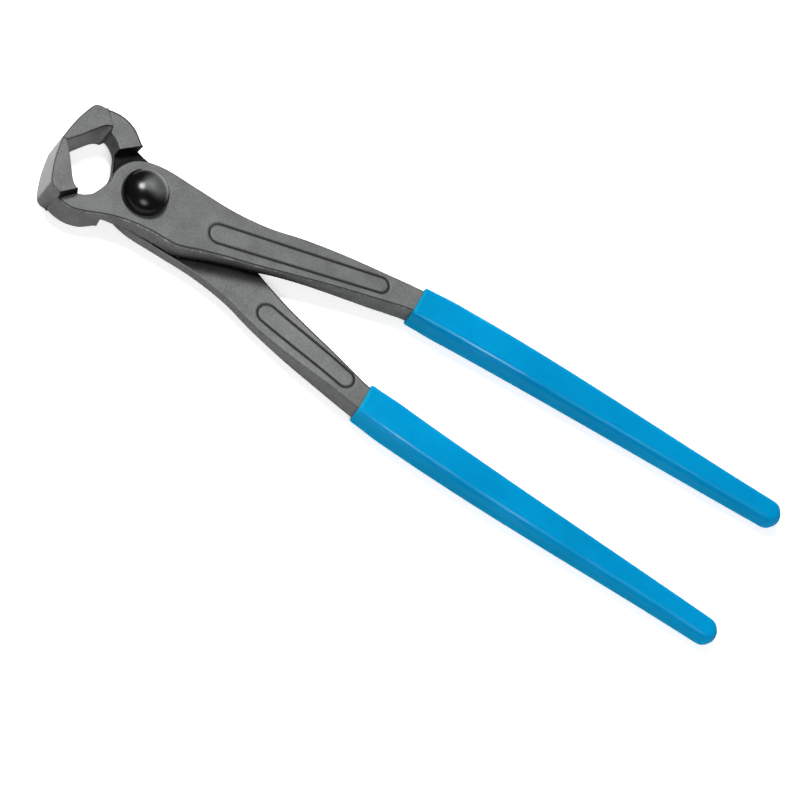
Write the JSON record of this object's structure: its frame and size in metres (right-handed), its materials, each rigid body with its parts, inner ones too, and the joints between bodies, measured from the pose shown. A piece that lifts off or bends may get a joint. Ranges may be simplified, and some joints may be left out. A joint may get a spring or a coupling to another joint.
{
  "type": "concreters nippers",
  "caption": "End-cutting nippers for tying and cutting wire: forged levers crossing in a riveted half-lap joint, with wide jaws and long handles in dipped plastic grips.",
  "frame": {"origin": "on the pivot axis, at the flat back end of the rivet", "axes": "+X from the pivot along the middle of the tool to the handle ends, +Y towards the handle of the front lever, +Z along the pivot towards the domed rivet head"},
  "size_m": [0.2808, 0.0612, 0.0195],
  "materials": {
    "lever_steel": "fine matt grey forged steel with a dark conversion coating",
    "rivet_steel": "smooth dark polished steel",
    "grip_plastic": "glossy blue dipped plastic"
  },
  "bodies": {
    "front_half": {"front_lever": "lever_steel", "front_grip": "grip_plastic", "pivot_rivet": "rivet_steel"},
    "back_half": {"back_lever": "lever_steel", "back_grip": "grip_plastic"}
  },
  "joints": [
    {"name": "pivot", "type": "hinge", "parent": "front_half", "child": "back_half", "pos_m": [0, 0, 0.00515], "axis": [0, 0, -1], "range_deg": [0, 40]}
  ]
}
